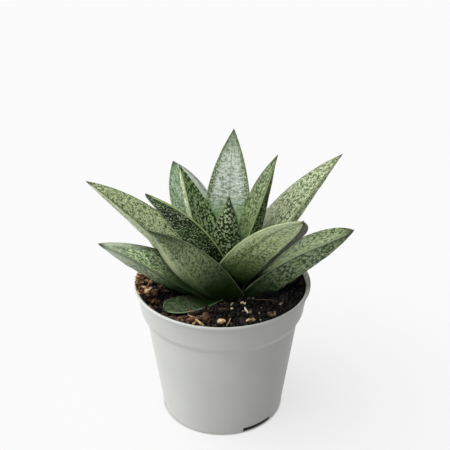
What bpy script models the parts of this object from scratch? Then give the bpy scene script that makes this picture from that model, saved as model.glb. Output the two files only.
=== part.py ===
"""Gasteria in a plastic nursery pot: a rosette of keeled leaves on a short stem, in a bark mix.

The origin is the middle of the pot's base, +Z is up and -Y is the plant's front.
Lengths are in millimetres and angles in degrees, and meshes are written in metres.
"""
import math
import random

import bmesh
import bpy
import numpy as np
from mathutils import Matrix, Vector, noise
from mathutils.bvhtree import BVHTree

NAME = "Potted_Gasteria"
MM = 0.001
SEED = 12
GAP = 0.35              # clearance between neighbouring solids
CHIP_GAP = 0.25         # clearance of the chips from the pot's wall

# Pot
POT_HEIGHT = 87.0
LIP_RADIUS = 52.5
LIP_HEIGHT = 1.8
LIP_WIDTH = 1.3
COLLAR_TOP_RADIUS = 51.1
COLLAR_FOOT_RADIUS = 48.9
COLLAR_FOOT_Z = 70.0
STEP_RADIUS = 45.9
STEP_Z = 65.5
BASE_RADIUS = 37.3
WALL = 1.2
FLOOR = 1.3
CENTRE_RADIUS = 24.0    # flat middle of the base, which the pot stands on
CHANNEL_HEIGHT = 4.0    # raised ring between the middle and the foot
POT_STEPS = 48
EDGE = 0.5              # rounding of the lip and the foot
NOTCH_WIDTH = 20.0
NOTCH_DEPTH = 7.0
NOTCH_HEIGHT = 3.6
NOTCH_ANGLES = (65.0, 185.0, 305.0)
DRAIN_RADIUS = 3.5
DRAIN_RING = 29.8
DRAIN_COUNT = 6

# Stem, standing in a plain hole in the soil
CROWN_X = 2.0
STEM_FOOT_Z = 66.0
STEM_NECK_Z = 83.0
STEM_TOP_Z = 93.0       # tip of the growing point, hidden among the inner leaves
STEM_RADIUS = 4.6
STEM_NECK_RADIUS = 3.2
STEM_STEPS = 20
HOLE_RADIUS = 5.2
HOLE_DEPTH = 20.0

# Soil
SOIL_RIM_Z = 86.1
SOIL_CROWN_Z = 75.0
SOIL_LEAN = 0.9         # how much fuller the pot is at its left than in the middle
SOIL_EDGE_DROP = 4.0
CROWN_DIP_INNER = 7.0
CROWN_DIP_OUTER = 30.0
SOIL_RELIEF = 1.6
SOIL_CALM_RADIUS = 38.0  # outside it the lumps grow lower toward the rim
SOIL_RINGS = (0.0, 5.0, 8.0, 11.0, 14.0, 17.5, 21.0, 24.5, 28.0, 31.5, 35.0, 38.5, 42.0, 45.5)
CHIPS_FROM_Z = 72.0     # below this height the soil has no chips to trim
OFFSET_END = Vector((-33.5, -30.0))     # where the tip of the small offset lies
OFFSET_HOLLOW = 5.9
OFFSET_REACH = 12.0
BARK_COUNT = 34
GRIT_COUNT = 20
BED_INNER = 22.0        # chips lie between these radii
BED_OUTER = 46.5
CHIP_SPACING = 7.0
# Chips that lie in front of the plant: x, y, length, width, height and turn
FRONT_CHIPS = (
    (-43.0, -13.0, 7.0, 5.0, 3.6, 60.0),
    (-23.5, -42.0, 7.5, 3.2, 3.0, 25.0),
    (-15.5, -43.5, 8.0, 3.0, 3.0, 10.0),
    (-8.5, -41.5, 4.5, 8.0, 5.0, 15.0),
    (-0.5, -45.0, 6.0, 3.6, 2.8, 5.0),
    (15.5, -43.0, 5.5, 3.4, 2.8, 15.0),
    (27.0, -37.5, 6.5, 4.2, 3.0, -40.0),
    (14.0, -34.5, 6.0, 2.2, 2.4, -25.0),
    (5.5, -32.0, 3.4, 3.0, 2.8, 30.0),
    (11.5, -24.0, 3.8, 3.0, 2.8, 70.0),
    (30.5, -25.0, 5.5, 3.6, 2.8, 10.0),
    (43.0, 0.0, 5.5, 3.8, 3.0, 80.0),
)

# Leaf sections
RINGS = (0.0, 0.06, 0.13, 0.21, 0.3, 0.4, 0.5, 0.6, 0.7, 0.79, 0.87, 0.935, 0.975)
FACE_POINTS = (-0.93, -0.5, 0.0, 0.5, 0.93)
LINE_STEPS = 400
MARGIN = 0.5            # half thickness of a leaf's margin
SHOULDER = 0.93         # where the margin's bevel starts, as a share of the half width
CROWN_Z = 80.0          # height that the seats are measured from
BASE_WIDTH = 0.78       # share of its width that a leaf has at its seat
BASE_RUN = 0.35         # share of the length over which it widens

# Each leaf: bearing of its base and how far it swings sideways on the way out, its slope at
# the base and at the tip, length, roll about its own run at the base and at the tip, width,
# how long it keeps that width, where its keel runs (-1 left margin, 1 right margin),
# thickness, and its seat: angle round the crown's axis, distance from it and height.
FIELDS = ("bearing", "swing", "slope", "tip_slope", "length", "roll", "tip_roll",
          "width", "fullness", "keel", "thick", "seat_angle", "seat_r", "seat_z")
LEAVES = {  # from the innermost leaf outwards
    "leaf_centre_front": (269, 13.5, 77, 74, 63.5, 18.5, -3, 22, 2.3, -0.25, 6, 271, 2, 8),
    "leaf_centre_back": (138.5, 4, 72, 53.5, 71.5, 8.5, -24, 23, 3.7, -0.6, 7, 134, 3, 8),
    "leaf_centre_right": (28.5, -6, 83.5, 56, 81, 38.5, -32.5, 20, 2.5, 0.55, 9.5, 22, 5, 6),
    "leaf_centre_left": (217.5, 8, 72, 38.5, 91, -15.5, -9, 28, 4.9, 0.2, 7, 219, 4.5, 6),
    "leaf_back": (90.5, -12.5, 61, 57, 91.5, -19.5, 4, 31.5, 3.1, 0.25, 6.5, 87, 4.5, 5),
    "leaf_back_left": (123.5, 1.5, 56, 40.5, 80, -15.5, 13, 31.5, 4.5, 0.4, 6.5, 123, 5, 4),
    "leaf_front_right": (292.5, 12, 53.6, 37, 105, 2.5, 22.5, 33, 5.7, -0.4, 6, 324, 3, 4),
    "leaf_right_long": (24, -13, 62, 36, 101, 4, -26, 28, 2.3, 0.75, 8.5, 25, 6, 3),
    "leaf_left_long": (167.5, 13, 55, 28, 100, -0.5, 15.5, 31, 2.8, -0.75, 6, 171, 6.5, 1.5),
    "leaf_front_left": (230.5, 14.5, 51, 41, 102.5, -23, -65.5, 27.5, 2.0, 0.2, 6.5, 269, 8, 0.5),
    "leaf_left_low": (188.5, 19, 39, 25, 78.5, 31.5, -1.5, 24, 4.6, -0.65, 9.5, 181, 8, 0.5),
    "leaf_right_low": (358.5, -12.5, 53, 16.5, 81, 6.5, 0, 24, 7.2, 0.8, 14.5, 356, 8, -0.5),
    "leaf_low_back_left": (143, -2, 27, 12, 60, 8, 2, 22, 4.0, 0.15, 6, 146, 8, -0.5),
    "leaf_low_back_right": (57, 4, 30, 16, 62, 3, 0, 23, 4.0, 0.2, 6, 57, 8, -0.5),
    "leaf_low_back": (101, -2, 26, 12, 64, -6, -2, 22, 4.5, -0.2, 6.5, 101, 8, -0.5),
    "leaf_small_offset": (220.5, -7, 13, 5.5, 37.5, -12, 14.5, 18, 4.5, 0.0, 4.5, 232, 9.5, -1),
}
BLUNT = {"leaf_front_right": 0.7, "leaf_small_offset": 0.6}     # rounded tips; 1 is pointed
BROAD = {"leaf_front_left": 0.91}       # a leaf that clasps the crown with a broad base

PALE_GREEN, YELLOW_GREEN = (0.36, 0.42, 0.26), (0.28, 0.35, 0.14)
GREY_GREEN, MID_GREEN, DARK_GREEN = (0.19, 0.25, 0.11), (0.17, 0.23, 0.08), (0.12, 0.17, 0.06)
COLOURS = {             # base colour and roughness
    "pot": ((0.50, 0.49, 0.48), 0.45),
    "soil": ((0.09, 0.055, 0.035), 0.95),
    "stem": ((0.30, 0.33, 0.14), 0.6),
    "leaf_centre_front": (DARK_GREEN, 0.5),
    "leaf_centre_back": (DARK_GREEN, 0.5),
    "leaf_centre_right": (DARK_GREEN, 0.5),
    "leaf_centre_left": (DARK_GREEN, 0.5),
    "leaf_back": (PALE_GREEN, 0.5),
    "leaf_back_left": (PALE_GREEN, 0.5),
    "leaf_front_right": (GREY_GREEN, 0.5),
    "leaf_right_long": (YELLOW_GREEN, 0.5),
    "leaf_left_long": (YELLOW_GREEN, 0.5),
    "leaf_front_left": (GREY_GREEN, 0.5),
    "leaf_left_low": (MID_GREEN, 0.5),
    "leaf_right_low": (MID_GREEN, 0.5),
    "leaf_low_back_left": (MID_GREEN, 0.5),
    "leaf_low_back_right": (MID_GREEN, 0.5),
    "leaf_low_back": (MID_GREEN, 0.5),
    "leaf_small_offset": (DARK_GREEN, 0.5),
}


def smooth(x):
    """0 below 0, 1 above 1 and an even S between."""
    x = np.clip(x, 0.0, 1.0)
    return x * x * (3.0 - 2.0 * x)


def material(name):
    colour, roughness = COLOURS[name]
    mat = bpy.data.materials.new(name)
    mat.use_nodes = True
    shader = mat.node_tree.nodes["Principled BSDF"]
    shader.inputs["Base Color"].default_value = (*colour, 1.0)
    shader.inputs["Roughness"].default_value = roughness
    shader.inputs["Metallic"].default_value = 0.0
    return mat


def add_object(name, vertices, faces, collection, edges=()):
    """A new object from points in millimetres."""
    mesh = bpy.data.meshes.new(name)
    mesh.from_pydata([tuple(MM * float(c) for c in v) for v in vertices], edges, faces)
    obj = bpy.data.objects.new(name, mesh)
    collection.objects.link(obj)
    if collection is cutters:
        obj.hide_render = True
        obj.display_type = "WIRE"
    else:
        mesh.materials.append(material(name))
    return obj


def turned(name, profile, collection, steps=POT_STEPS, x=0.0):
    """A turned solid: the profile (radius, z) starts and ends on the axis."""
    points = [(r, 0.0, z) for r, z in profile]
    edges = [(i, i + 1) for i in range(len(points) - 1)]
    obj = add_object(name, points, [], collection, edges)
    obj.location.x = x * MM
    screw = obj.modifiers.new("Turn", "SCREW")
    screw.axis = "Z"
    screw.steps = screw.render_steps = steps
    screw.use_merge_vertices = True
    screw.merge_threshold = 0.00001
    return obj


def boolean(obj, operation, operand, label, solver="MANIFOLD"):
    """Join or cut with an object, or with every object of a collection.

    The leaves and the lumpy soil are cut with MANIFOLD, because EXACT loses whole leaves there.
    """
    mod = obj.modifiers.new(label, "BOOLEAN")
    mod.operation = operation
    mod.solver = solver
    if isinstance(operand, bpy.types.Collection):
        mod.operand_type = "COLLECTION"
        mod.collection = operand
    else:
        mod.object = operand


def apply_modifiers(obj):
    bpy.context.view_layer.update()
    graph = bpy.context.evaluated_depsgraph_get()
    mesh = bpy.data.meshes.new_from_object(obj.evaluated_get(graph))
    obj.modifiers.clear()
    old, obj.data = obj.data, mesh
    bpy.data.meshes.remove(old)


def drop_scraps(obj):
    """Keep the largest connected body of a cut mesh."""
    bm = bmesh.new()
    bm.from_mesh(obj.data)
    left, bodies = set(bm.verts), []
    while left:
        stack, body = [left.pop()], []
        while stack:
            vert = stack.pop()
            body.append(vert)
            for edge in vert.link_edges:
                other = edge.other_vert(vert)
                if other in left:
                    left.remove(other)
                    stack.append(other)
        bodies.append(body)
    bodies.sort(key=len, reverse=True)
    for body in bodies[1:]:
        bmesh.ops.delete(bm, geom=body, context="VERTS")
    bm.to_mesh(obj.data)
    bm.free()


def move_to(obj, collection):
    for current in obj.users_collection:
        current.objects.unlink(obj)
    collection.objects.link(obj)
    if collection is cutters:
        obj.hide_render = True
        obj.display_type = "WIRE"


def tree_of(points, faces):
    return BVHTree.FromPolygons([tuple(p) for p in points], faces)


def pot_wall(z):
    """Outer radius of the pot below its lip at height z."""
    return float(np.interp(z, (0.0, STEP_Z, COLLAR_FOOT_Z, POT_HEIGHT - LIP_HEIGHT),
                           (BASE_RADIUS, STEP_RADIUS, COLLAR_FOOT_RADIUS, COLLAR_TOP_RADIUS)))


def inner_wall(z):
    """Inner radius of the pot at height z."""
    lip_z = POT_HEIGHT - LIP_HEIGHT
    if z <= lip_z:
        return pot_wall(z) - WALL
    return float(np.interp(z, (lip_z, POT_HEIGHT - EDGE),
                           (pot_wall(lip_z) - WALL, LIP_RADIUS - LIP_WIDTH)))


def build_pot():
    """A turned shell with a rounded lip, a collar, three foot notches and drain holes."""
    lip_z = POT_HEIGHT - LIP_HEIGHT
    lip_inner = LIP_RADIUS - LIP_WIDTH
    channel_top = CHANNEL_HEIGHT + FLOOR
    well = CENTRE_RADIUS - FLOOR
    foot_inner = BASE_RADIUS - WALL
    profile = [(0.0, FLOOR), (well, FLOOR), (well, channel_top)]
    profile += [(inner_wall(z), z) for z in (channel_top, STEP_Z, COLLAR_FOOT_Z, lip_z)]
    profile += [(lip_inner, POT_HEIGHT - EDGE), (lip_inner + EDGE, POT_HEIGHT),
                (LIP_RADIUS - EDGE, POT_HEIGHT), (LIP_RADIUS, POT_HEIGHT - EDGE),
                (LIP_RADIUS, lip_z + EDGE), (LIP_RADIUS - EDGE, lip_z)]
    profile += [(pot_wall(z), z) for z in (lip_z - EDGE, COLLAR_FOOT_Z, STEP_Z, 2.0 * EDGE)]
    profile += [(BASE_RADIUS - EDGE, 0.0), (foot_inner, 0.0), (foot_inner, CHANNEL_HEIGHT),
                (CENTRE_RADIUS, CHANNEL_HEIGHT), (CENTRE_RADIUS, 0.0), (0.0, 0.0)]
    pot = turned("pot", profile, parts)
    for angle in NOTCH_ANGLES:
        bpy.ops.mesh.primitive_cube_add(size=1.0)
        notch = bpy.context.object
        notch.name = "cut_notch"
        notch.data.transform(Matrix.Rotation(math.radians(angle), 4, "Z")
                             @ Matrix.Translation(Vector((BASE_RADIUS, 0.0, 0.0)) * MM)
                             @ Matrix.Diagonal((NOTCH_DEPTH * MM, NOTCH_WIDTH * MM,
                                                2.0 * NOTCH_HEIGHT * MM, 1.0)))
        move_to(notch, cutters)
        boolean(pot, "DIFFERENCE", notch, "Notch", "EXACT")
    for i in range(DRAIN_COUNT):
        angle = math.tau * (i + 0.5) / DRAIN_COUNT
        bpy.ops.mesh.primitive_cylinder_add(vertices=16, radius=DRAIN_RADIUS * MM,
                                            depth=3.0 * FLOOR * MM)
        drain = bpy.context.object
        drain.name = "cut_drain"
        drain.location = Vector((DRAIN_RING * math.cos(angle), DRAIN_RING * math.sin(angle),
                                 CHANNEL_HEIGHT + FLOOR / 2.0)) * MM
        move_to(drain, cutters)
        boolean(pot, "DIFFERENCE", drain, "Drain", "EXACT")


def offset_distance(x, y):
    """How far a point of the bed lies from the line under the small offset."""
    along = min(max((x * OFFSET_END.x + y * OFFSET_END.y) / OFFSET_END.length_squared, 0.0), 1.0)
    return math.hypot(x - along * OFFSET_END.x, y - along * OFFSET_END.y)


def soil_height(x, y):
    """Height of the mix: a dip round the crown, fuller at the left, hollowed under the offset."""
    from_crown = math.hypot(x - CROWN_X, y)
    dip = float(smooth((from_crown - CROWN_DIP_INNER) / (CROWN_DIP_OUTER - CROWN_DIP_INNER)))
    lean = -SOIL_LEAN * x / LIP_RADIUS
    hollow = OFFSET_HOLLOW * float(smooth(2.1 - 1.4 * offset_distance(x, y) / OFFSET_REACH)) * dip
    lumps = noise.noise(Vector((x, y, 3.0)) / 8.0) + 0.6 * noise.noise(Vector((x, y, 9.0)) / 4.0)
    rough = SOIL_RELIEF * lumps * float(smooth(from_crown / CROWN_DIP_INNER - 1.0))
    rough *= 1.0 - 0.6 * float(smooth((math.hypot(x, y) - SOIL_CALM_RADIUS) / 10.0))
    return SOIL_CROWN_Z + (SOIL_RIM_Z - SOIL_CROWN_Z) * dip + lean - hollow + rough


def add_bit(bits, rng, x, y, size, turn, bark):
    """A chip of bark or a grain of grit, sunk into the mix and tilted a little."""
    if bark:
        bpy.ops.mesh.primitive_cube_add(size=1.0)
    else:
        bpy.ops.mesh.primitive_ico_sphere_add(subdivisions=1, radius=0.5)
    bit = bpy.context.object
    tilt = (Matrix.Rotation(math.radians(turn), 4, "Z")
            @ Matrix.Rotation(rng.uniform(-0.3, 0.3), 4, "X")
            @ Matrix.Rotation(rng.uniform(-0.22, 0.22), 4, "Y"))
    for vert in bit.data.vertices:
        vert.co += Vector([rng.uniform(-0.09, 0.09) for _ in range(3)])
    place = Matrix.Translation(Vector((x, y, soil_height(x, y) + 0.15 * size.z)) * MM)
    bit.data.transform(place @ tilt @ Matrix.Diagonal((*(size * MM), 1.0)))
    move_to(bit, bits)


def scatter_bits(bits):
    rng = random.Random(SEED)
    for x, y, length, width, height, turn in FRONT_CHIPS:
        add_bit(bits, rng, x, y, Vector((length, width, height)), turn, True)
    for i in range(BARK_COUNT + GRIT_COUNT):
        radius, angle = rng.uniform(BED_INNER, BED_OUTER), rng.uniform(0.0, math.tau)
        x, y = radius * math.cos(angle), radius * math.sin(angle)
        bark = i < BARK_COUNT
        if bark:
            size = Vector((rng.uniform(4.5, 9.0), rng.uniform(3.0, 5.0), rng.uniform(2.2, 3.6)))
        else:
            size = Vector((1.0, rng.uniform(0.7, 1.0), rng.uniform(0.6, 0.9))) * rng.uniform(2.8, 4.4)
        spaced = all(math.hypot(x - chip[0], y - chip[1]) > CHIP_SPACING for chip in FRONT_CHIPS)
        if spaced and offset_distance(x, y) > OFFSET_REACH:
            add_bit(bits, rng, x, y, size, rng.uniform(0.0, 360.0), bark)


def build_soil():
    """The mix fills the pot; its chips are joined to it and trimmed at the pot's wall."""
    bottom = CHANNEL_HEIGHT + FLOOR + GAP
    well = CENTRE_RADIUS - FLOOR - GAP
    edge_z = SOIL_RIM_Z - SOIL_EDGE_DROP
    profile = [(r, SOIL_RIM_Z) for r in SOIL_RINGS]
    profile.append((inner_wall(POT_HEIGHT - LIP_HEIGHT) - GAP, SOIL_RIM_Z))
    profile += [(inner_wall(z) - GAP, z) for z in (edge_z, COLLAR_FOOT_Z, STEP_Z, bottom)]
    profile += [(well, bottom), (well, FLOOR + GAP), (0.0, FLOOR + GAP)]
    soil = turned("soil", profile, parts)
    apply_modifiers(soil)
    for vert in soil.data.vertices:
        if vert.co.z > (SOIL_RIM_Z - GAP) * MM:
            vert.co.z = soil_height(vert.co.x / MM, vert.co.y / MM) * MM
    bits = bpy.data.collections.new("Soil_Bits")
    bpy.context.scene.collection.children.link(bits)
    scatter_bits(bits)
    boolean(soil, "UNION", bits, "Bits")
    apply_modifiers(soil)
    for bit in list(bits.objects):
        bpy.data.objects.remove(bit, do_unlink=True)
    bpy.data.collections.remove(bits)
    above = POT_HEIGHT + SOIL_EDGE_DROP
    inside = [(0.0, above)]
    inside += [(inner_wall(z) - CHIP_GAP, z)
               for z in (above, POT_HEIGHT - EDGE, POT_HEIGHT - LIP_HEIGHT, CHIPS_FROM_Z)]
    inside += [(LIP_RADIUS, CHIPS_FROM_Z), (LIP_RADIUS, -FLOOR), (0.0, -FLOOR)]
    boolean(soil, "INTERSECT", turned("cut_inside", inside, cutters), "Trim")
    bpy.ops.mesh.primitive_cylinder_add(vertices=STEM_STEPS, radius=HOLE_RADIUS * MM,
                                        depth=HOLE_DEPTH * MM)
    hole = bpy.context.object
    hole.name = "cut_stem_hole"
    hole.location = Vector((CROWN_X, 0.0, STEM_FOOT_Z - GAP + HOLE_DEPTH / 2.0)) * MM
    move_to(hole, cutters)
    boolean(soil, "DIFFERENCE", hole, "Stem hole")
    apply_modifiers(soil)
    return soil


def stem_profile(grow):
    """A short stem that tapers to a growing point; grow gives the shape cut around it."""
    return [(0.0, STEM_TOP_Z + grow), (0.5 * STEM_NECK_RADIUS + grow, STEM_TOP_Z - 3.0),
            (0.85 * STEM_NECK_RADIUS + grow, STEM_TOP_Z - 6.0), (STEM_NECK_RADIUS + grow, STEM_NECK_Z),
            (STEM_RADIUS + grow, CROWN_Z - 4.0), (STEM_RADIUS + grow, STEM_FOOT_Z + 1.5),
            (STEM_RADIUS - 1.2 + grow, STEM_FOOT_Z - grow), (0.0, STEM_FOOT_Z - grow)]


def leaf_run(leaf):
    """The leaf's middle line with its directions along, across and out of the upper face."""
    share = np.array(RINGS + (1.0,))
    fine = np.linspace(0.0, 1.0, LINE_STEPS + 1)
    at = np.rint(share * LINE_STEPS).astype(int)
    bearing = np.radians(leaf["bearing"] + leaf["swing"] * fine)
    slope = np.radians(leaf["slope"] + (leaf["tip_slope"] - leaf["slope"]) * fine)
    run = np.stack([np.cos(slope) * np.cos(bearing), np.cos(slope) * np.sin(bearing),
                    np.sin(slope)], -1)
    line = np.zeros((LINE_STEPS + 1, 3))
    line[1:] = np.cumsum((run[1:] + run[:-1]) * 0.5 * leaf["length"] / LINE_STEPS, 0)
    seat = math.radians(leaf["seat_angle"])
    line += np.array([CROWN_X + leaf["seat_r"] * math.cos(seat),
                      leaf["seat_r"] * math.sin(seat), CROWN_Z + leaf["seat_z"]])
    line, run, bearing = line[at], run[at], bearing[at]
    flat = np.stack([np.sin(bearing), -np.cos(bearing), 0.0 * bearing], -1)
    up = np.cross(flat, run)
    roll = np.radians(leaf["roll"] + (leaf["tip_roll"] - leaf["roll"]) * share)[:, None]
    side = flat * np.cos(roll) + up * np.sin(roll)
    face = up * np.cos(roll) - flat * np.sin(roll)
    return share, line, run, side, face


def leaf_mesh(name, grow=0.0):
    """A keeled blade: a shallow channel above, two facets meeting at the keel below.

    It widens from its seat, keeps its width and narrows to the tip. grow thickens it all
    round, for the shape that is cut out of a neighbour.
    """
    leaf = dict(zip(FIELDS, LEAVES[name]))
    share, line, run, side, face = leaf_run(leaf)
    base = BROAD.get(name, BASE_WIDTH)
    taper = np.clip(1.0 - share ** leaf["fullness"], 0.0, 1.0) ** BLUNT.get(name, 1.0)
    half = leaf["width"] / 2 * taper * (base + (1.0 - base) * smooth(share / BASE_RUN))
    thick = leaf["thick"] * np.clip(1.0 - share ** 3, 0.0, 1.0) ** 0.8
    thick *= 0.6 + 0.4 * smooth(share / 0.2)
    margin = np.minimum(MARGIN, 0.5 * thick + 0.05)
    channel = 0.12 * (1.0 - share) + 0.02
    keel = leaf["keel"]
    right, left = SHOULDER - keel, SHOULDER + keel
    below = (SHOULDER, keel + 0.6 * right, keel + 0.2 * right, keel,
             keel - 0.2 * left, keel - 0.6 * left, -SHOULDER)
    points = [line[0] - face[0] * thick[0] * 0.5 - run[0] * grow]
    for i in range(len(RINGS)):
        width = half[i] + grow
        across = [x * width for x in FACE_POINTS] + [width] + [x * width for x in below] + [-width]
        over = [grow - channel[i] * width * (1.0 - x * x) for x in FACE_POINTS] + [-margin[i]]
        for x in below:
            near = (1.0 - x) / (1.0 - keel) if x > keel else (1.0 + x) / (1.0 + keel)
            depth = 2 * margin[i] + max(thick[i] - 2 * margin[i], 0.0) * near ** 0.85
            over.append(-depth - grow)
        over.append(-margin[i])
        ring = line[i] + np.outer(across, side[i]) + np.outer(over, face[i])
        points.extend(ring - run[0] * grow if i == 0 else ring)
    points.append(line[-1] + run[-1] * grow)
    count = len(FACE_POINTS) + len(below) + 2
    last = len(points) - 1
    faces = []
    for j in range(count):
        k = (j + 1) % count
        faces.append((0, 1 + k, 1 + j))
        for i in range(len(RINGS) - 1):
            a, b = 1 + i * count + j, 1 + i * count + k
            faces.append((a, b, b + count))
            faces.append((a, b + count, a + count))
        faces.append((last - count + j, last - count + k, last))
    return points, faces


def build_leaves():
    """Each leaf is trimmed round the stem and round the leaves that sit inside it."""
    stem_cut = turned("cut_stem", stem_profile(GAP), cutters, STEM_STEPS, CROWN_X)
    inner, grown = {}, {}
    for name in LEAVES:
        leaf = add_object(name, *leaf_mesh(name), parts)
        tree = tree_of(*leaf_mesh(name, 2.0 * GAP))
        for other in inner:
            if tree.overlap(inner[other]):
                if other not in grown:
                    grown[other] = add_object("cut_" + other, *leaf_mesh(other, GAP), cutters)
                boolean(leaf, "DIFFERENCE", grown[other], "Round " + other)
        boolean(leaf, "DIFFERENCE", stem_cut, "Round stem")
        apply_modifiers(leaf)
        drop_scraps(leaf)
        inner[name] = tree_of(*leaf_mesh(name))


def press_leaves_into(soil):
    """The mix lies against the undersides of the lowest leaves."""
    ground = tree_of([vert.co / MM for vert in soil.data.vertices],
                     [tuple(face.vertices) for face in soil.data.polygons])
    for name in LEAVES:
        if tree_of(*leaf_mesh(name, 2.0 * GAP)).overlap(ground):
            cut = add_object("cut_bed_" + name, *leaf_mesh(name, GAP), cutters)
            boolean(soil, "DIFFERENCE", cut, "Seat " + name)
    apply_modifiers(soil)
    drop_scraps(soil)


for item in list(bpy.data.objects):
    bpy.data.objects.remove(item, do_unlink=True)
parts = bpy.data.collections.new(NAME)
cutters = bpy.data.collections.new("Cutters")
bpy.context.scene.collection.children.link(parts)
bpy.context.scene.collection.children.link(cutters)

build_pot()
bed = build_soil()
turned("stem", stem_profile(0.0), parts, STEM_STEPS, CROWN_X)
build_leaves()
press_leaves_into(bed)

plant = bpy.data.objects.new(NAME, None)
parts.objects.link(plant)
for piece in list(parts.objects):
    if piece is not plant:
        piece.parent = plant
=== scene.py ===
"""Looks of a gasteria in a plastic nursery pot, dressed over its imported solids.

Every leaf, the stem, the bark mix and the pot are surfaces worked out on grids, in
millimetres, and put into meshes in metres. The origin is the middle of the pot's base.
"""
import math

import bpy
import numpy as np
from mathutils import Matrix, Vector


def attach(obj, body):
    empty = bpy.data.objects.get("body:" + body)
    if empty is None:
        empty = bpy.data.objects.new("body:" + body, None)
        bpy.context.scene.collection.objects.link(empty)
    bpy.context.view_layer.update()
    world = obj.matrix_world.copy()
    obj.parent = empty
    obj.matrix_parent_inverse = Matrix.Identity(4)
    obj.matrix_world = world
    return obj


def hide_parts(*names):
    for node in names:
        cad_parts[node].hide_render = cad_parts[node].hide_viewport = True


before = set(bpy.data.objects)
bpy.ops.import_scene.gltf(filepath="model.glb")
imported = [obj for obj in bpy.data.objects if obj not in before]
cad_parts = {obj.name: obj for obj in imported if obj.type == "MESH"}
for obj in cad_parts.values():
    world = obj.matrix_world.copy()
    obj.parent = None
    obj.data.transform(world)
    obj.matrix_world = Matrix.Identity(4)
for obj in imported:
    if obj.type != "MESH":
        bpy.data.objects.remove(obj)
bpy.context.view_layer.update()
MM = 0.001
TAU = math.tau

# Pot, as its solid
POT_HEIGHT, LIP_RADIUS, LIP_HEIGHT, LIP_WIDTH = 87.0, 52.5, 1.8, 1.3
COLLAR_TOP_RADIUS, COLLAR_FOOT_RADIUS, COLLAR_FOOT_Z = 51.1, 48.9, 70.0
STEP_RADIUS, STEP_Z, BASE_RADIUS = 45.9, 65.5, 37.3
WALL, FLOOR, CENTRE_RADIUS, CHANNEL_HEIGHT = 1.2, 1.3, 24.0, 4.0
NOTCH_WIDTH, NOTCH_DEPTH, NOTCH_HEIGHT, NOTCH_ANGLES = 20.0, 7.0, 3.6, (65.0, 185.0, 305.0)
DRAIN_RADIUS, DRAIN_RING, DRAIN_COUNT = 3.5, 29.8, 6

# Crown and bark mix
CROWN_X, CROWN_Z = 2.0, 80.0
STEM_FOOT_Z, STEM_NECK_Z, STEM_TOP_Z, STEM_RADIUS, STEM_NECK_RADIUS = 66.0, 83.0, 93.0, 4.6, 3.2
SOIL_RIM_Z, SOIL_CROWN_Z, SOIL_LEAN = 86.1, 75.0, 0.9
CROWN_DIP_INNER, CROWN_DIP_OUTER = 7.0, 30.0
OFFSET_END, OFFSET_HOLLOW, OFFSET_REACH = np.array((-33.5, -30.0)), 5.9, 12.0
BED_RADIUS = 49.9
# The mix's side and foot inside the pot, as radius and height
BED_SIDE = ((49.0, 81.0), (47.35, COLLAR_FOOT_Z), (44.25, STEP_Z), (36.5, 5.7), (22.3, 5.7), (22.3, 1.7))

# Each leaf: bearing of its base and how far it swings sideways on the way out, its slope at
# the base and at the tip, length, roll about its own run at the base and at the tip, width,
# how long it keeps that width, where its keel runs (-1 left margin, 1 right margin),
# thickness, and its seat: angle round the crown's axis, distance from it and height.
FIELDS = ("bearing", "swing", "slope", "tip_slope", "length", "roll", "tip_roll",
          "width", "fullness", "keel", "thick", "seat_angle", "seat_r", "seat_z")
LEAVES = {  # from the innermost leaf outwards
    "leaf_centre_front": (269, 13.5, 77, 74, 63.5, 18.5, -3, 22, 2.3, -0.25, 6, 271, 2, 8),
    "leaf_centre_back": (138.5, 4, 72, 53.5, 71.5, 8.5, -24, 23, 3.7, -0.6, 7, 134, 3, 8),
    "leaf_centre_right": (28.5, -6, 83.5, 56, 81, 38.5, -32.5, 20, 2.5, 0.55, 9.5, 22, 5, 6),
    "leaf_centre_left": (217.5, 8, 72, 38.5, 91, -15.5, -9, 28, 4.9, 0.2, 7, 219, 4.5, 6),
    "leaf_back": (90.5, -12.5, 61, 57, 91.5, -19.5, 4, 31.5, 3.1, 0.25, 6.5, 87, 4.5, 5),
    "leaf_back_left": (123.5, 1.5, 56, 40.5, 80, -15.5, 13, 31.5, 4.5, 0.4, 6.5, 123, 5, 4),
    "leaf_front_right": (292.5, 12, 53.6, 37, 105, 2.5, 22.5, 33, 5.7, -0.4, 6, 324, 3, 4),
    "leaf_right_long": (24, -13, 62, 36, 101, 4, -26, 28, 2.3, 0.75, 8.5, 25, 6, 3),
    "leaf_left_long": (167.5, 13, 55, 28, 100, -0.5, 15.5, 31, 2.8, -0.75, 6, 171, 6.5, 1.5),
    "leaf_front_left": (230.5, 14.5, 51, 41, 102.5, -23, -65.5, 27.5, 2.0, 0.2, 6.5, 269, 8, 0.5),
    "leaf_left_low": (188.5, 19, 39, 25, 78.5, 31.5, -1.5, 24, 4.6, -0.65, 9.5, 181, 8, 0.5),
    "leaf_right_low": (358.5, -12.5, 53, 16.5, 81, 6.5, 0, 24, 7.2, 0.8, 14.5, 356, 8, -0.5),
    "leaf_low_back_left": (143, -2, 27, 12, 60, 8, 2, 22, 4.0, 0.15, 6, 146, 8, -0.5),
    "leaf_low_back_right": (57, 4, 30, 16, 62, 3, 0, 23, 4.0, 0.2, 6, 57, 8, -0.5),
    "leaf_low_back": (101, -2, 26, 12, 64, -6, -2, 22, 4.5, -0.2, 6.5, 101, 8, -0.5),
    "leaf_small_offset": (220.5, -7, 13, 5.5, 37.5, -12, 14.5, 18, 4.5, 0.0, 4.5, 232, 9.5, -1),
}
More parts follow.
